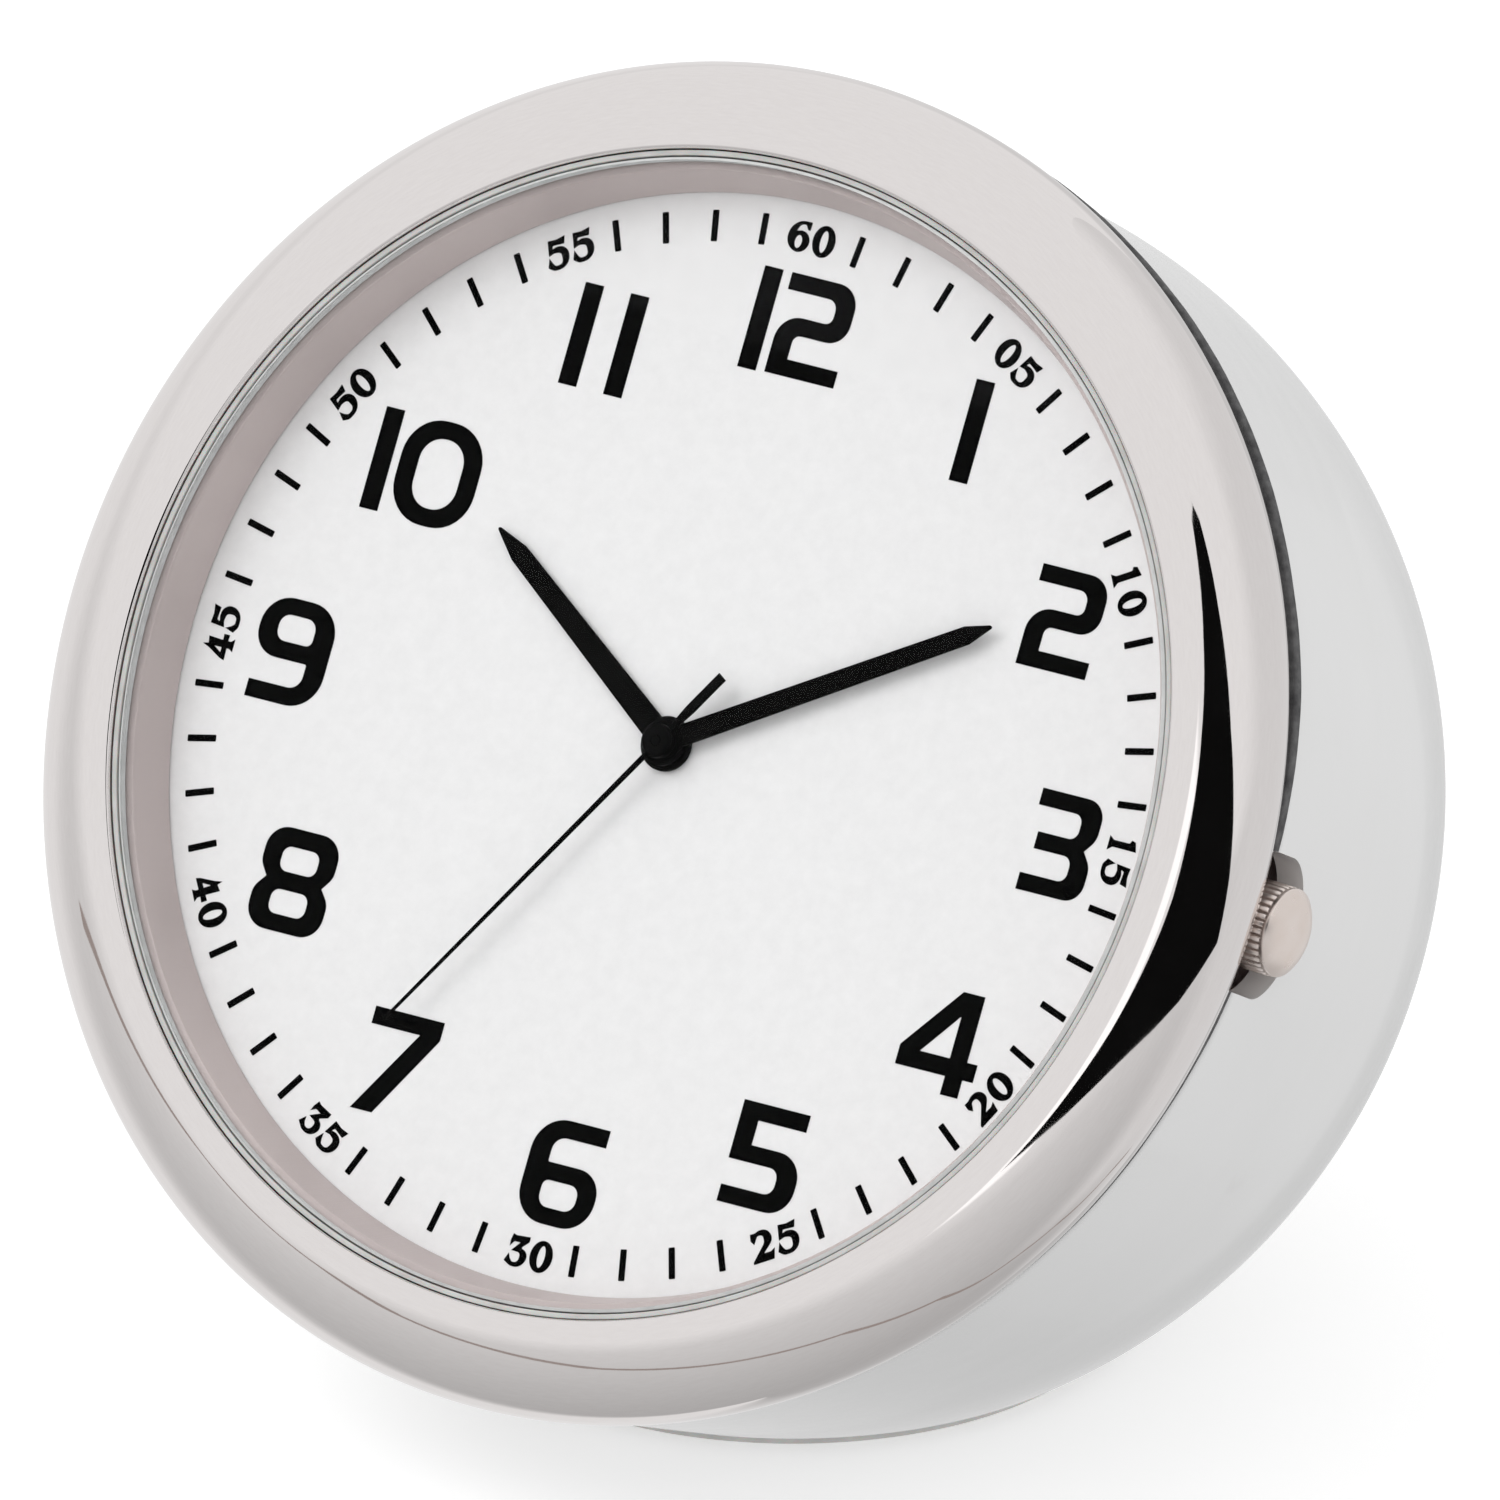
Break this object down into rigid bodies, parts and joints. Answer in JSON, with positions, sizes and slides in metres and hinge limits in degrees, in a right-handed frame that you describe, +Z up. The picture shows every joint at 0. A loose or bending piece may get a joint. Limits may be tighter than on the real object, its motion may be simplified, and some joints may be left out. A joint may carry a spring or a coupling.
{
  "type": "ball clock",
  "caption": "Small round quartz clock with a polished domed bezel, white dial and side crown, set in a glossy white ball that stands on a flat foot.",
  "frame": {"origin": "centre of the foot's underside, on the surface the clock stands on", "axes": "+Z up, -Y the way the dial faces (it leans back 31.1 degrees), +X the 3 o'clock side; the crown comes out there, turned 2.1 degrees below 3 o'clock"},
  "size_m": [0.0587, 0.0541, 0.0555],
  "materials": {
    "white_gloss": "moulded, high gloss",
    "black_rubber": "matt",
    "clear_rubber": "translucent, satin",
    "polished_steel": "polished, slightly warm",
    "glass": "clear, flat",
    "grey_satin": "satin grey",
    "dial_white": "matt white print ground",
    "black_gloss": "black lacquer",
    "rose_metal": "pale rose plating, polished",
    "steel": "satin",
    "brass": "cut, satin",
    "black_plastic": "moulded",
    "natural_plastic": "moulded",
    "copper": "enamelled wire winding",
    "board_green": "solder mask",
    "magnet": "ground",
    "nylon": "moulded"
  },
  "bodies": {
    "ball": {"body_shell": "white_gloss", "foot_pad": "clear_rubber"},
    "head": {"rim_gasket": "black_rubber", "bezel": "polished_steel", "crystal": "glass", "crystal_gasket": "clear_rubber", "rehaut_ring": "grey_satin", "dial": "dial_white", "movement_holder": "natural_plastic", "case_can": "grey_satin", "case_back": "steel", "back_gasket": "black_rubber", "stem_tube": "brass", "main_plate": "black_plastic", "train_bridge": "steel", "bridge_screw_1": "steel", "bridge_screw_2": "steel", "bridge_screw_3": "steel", "stator": "steel", "coil_core": "steel", "coil": "copper", "coil_screw_1": "steel", "coil_screw_2": "steel", "circuit_board": "board_green", "timing_chip": "black_plastic", "quartz_crystal": "steel", "battery_cell": "steel", "battery_strap": "steel", "strap_screw": "steel"},
    "rotor": {"rotor": "magnet"},
    "intermediate_wheel": {"intermediate_wheel": "nylon"},
    "second_hand": {"seconds_wheel": "brass", "second_hand": "black_gloss"},
    "third_wheel": {"third_wheel": "brass"},
    "centre_wheel": {"centre_wheel": "brass"},
    "minute_hand": {"cannon_pinion": "steel", "minute_hand": "black_gloss"},
    "minute_wheel": {"minute_wheel": "brass"},
    "setting_wheel": {"setting_wheel": "brass"},
    "hour_hand": {"hour_wheel": "brass", "hour_hand": "black_gloss"},
    "sliding_pinion": {"sliding_pinion": "steel"},
    "crown": {"stem": "steel", "crown": "rose_metal"},
    "setting_lever": {"setting_lever": "steel"}
  },
  "joints": [
    {"name": "head_pull", "type": "slide", "parent": "ball", "child": "head", "axis": [0, -0.8563, 0.5165], "range_m": [0, 0.02]},
    {"name": "second_hand_turn", "type": "hinge", "parent": "head", "child": "second_hand", "pos_m": [0, -0.00972, 0.02986], "axis": [0, 0.8563, -0.5165], "continuous": true},
    {"name": "intermediate_turn", "type": "hinge", "parent": "head", "child": "intermediate_wheel", "pos_m": [-0.00252, -0.00462, 0.03057], "axis": [0, 0.8563, -0.5165], "continuous": true},
    {"name": "rotor_turn", "type": "hinge", "parent": "head", "child": "rotor", "pos_m": [-0.00299, -0.00288, 0.03345], "axis": [0, 0.8563, -0.5165], "continuous": true},
    {"name": "third_turn", "type": "hinge", "parent": "head", "child": "third_wheel", "pos_m": [0.00192, -0.00902, 0.02521], "axis": [0, 0.8563, -0.5165], "continuous": true},
    {"name": "centre_turn", "type": "hinge", "parent": "head", "child": "centre_wheel", "pos_m": [0, -0.00732, 0.02842], "axis": [0, 0.8563, -0.5165], "continuous": true},
    {"name": "minute_hand_turn", "type": "hinge", "parent": "head", "child": "minute_hand", "pos_m": [0, -0.00972, 0.02986], "axis": [0, 0.8563, -0.5165], "continuous": true},
    {"name": "minute_wheel_turn", "type": "hinge", "parent": "head", "child": "minute_wheel", "pos_m": [0.00319, -0.00745, 0.03091], "axis": [0, 0.8563, -0.5165], "continuous": true},
    {"name": "setting_wheel_turn", "type": "hinge", "parent": "head", "child": "setting_wheel", "pos_m": [0.00728, -0.0081, 0.02983], "axis": [0, 0.8563, -0.5165], "continuous": true},
    {"name": "hour_hand_turn", "type": "hinge", "parent": "head", "child": "hour_hand", "pos_m": [0, -0.00972, 0.02986], "axis": [0, 0.8563, -0.5165], "continuous": true},
    {"name": "crown_turn", "type": "hinge", "parent": "head", "child": "sliding_pinion", "pos_m": [0.00899, -0.00728, 0.028], "axis": [0.9993, -0.0189, -0.0314], "continuous": true},
    {"name": "crown_pull", "type": "slide", "parent": "sliding_pinion", "child": "crown", "axis": [0.9993, -0.0189, -0.0314], "range_m": [0, 0.001]},
    {"name": "setting_lever_swing", "type": "hinge", "parent": "head", "child": "setting_lever", "pos_m": [0.01292, -0.00468, 0.03048], "axis": [0, -0.8563, 0.5165], "range_deg": [0, 16]}
  ],
  "couplings": [
    {"joint": "intermediate_turn", "follows": "second_hand_turn", "ratio": -5},
    {"joint": "rotor_turn", "follows": "second_hand_turn", "ratio": 30},
    {"joint": "third_turn", "follows": "second_hand_turn", "ratio": -0.13333},
    {"joint": "centre_turn", "follows": "second_hand_turn", "ratio": 0.016667},
    {"joint": "minute_wheel_turn", "follows": "minute_hand_turn", "ratio": -0.33333},
    {"joint": "setting_wheel_turn", "follows": "minute_hand_turn", "ratio": 0.66667},
    {"joint": "hour_hand_turn", "follows": "minute_hand_turn", "ratio": 0.083333},
    {"joint": "setting_lever_swing", "follows": "crown_pull", "rad_per_m": 277.78}
  ]
}
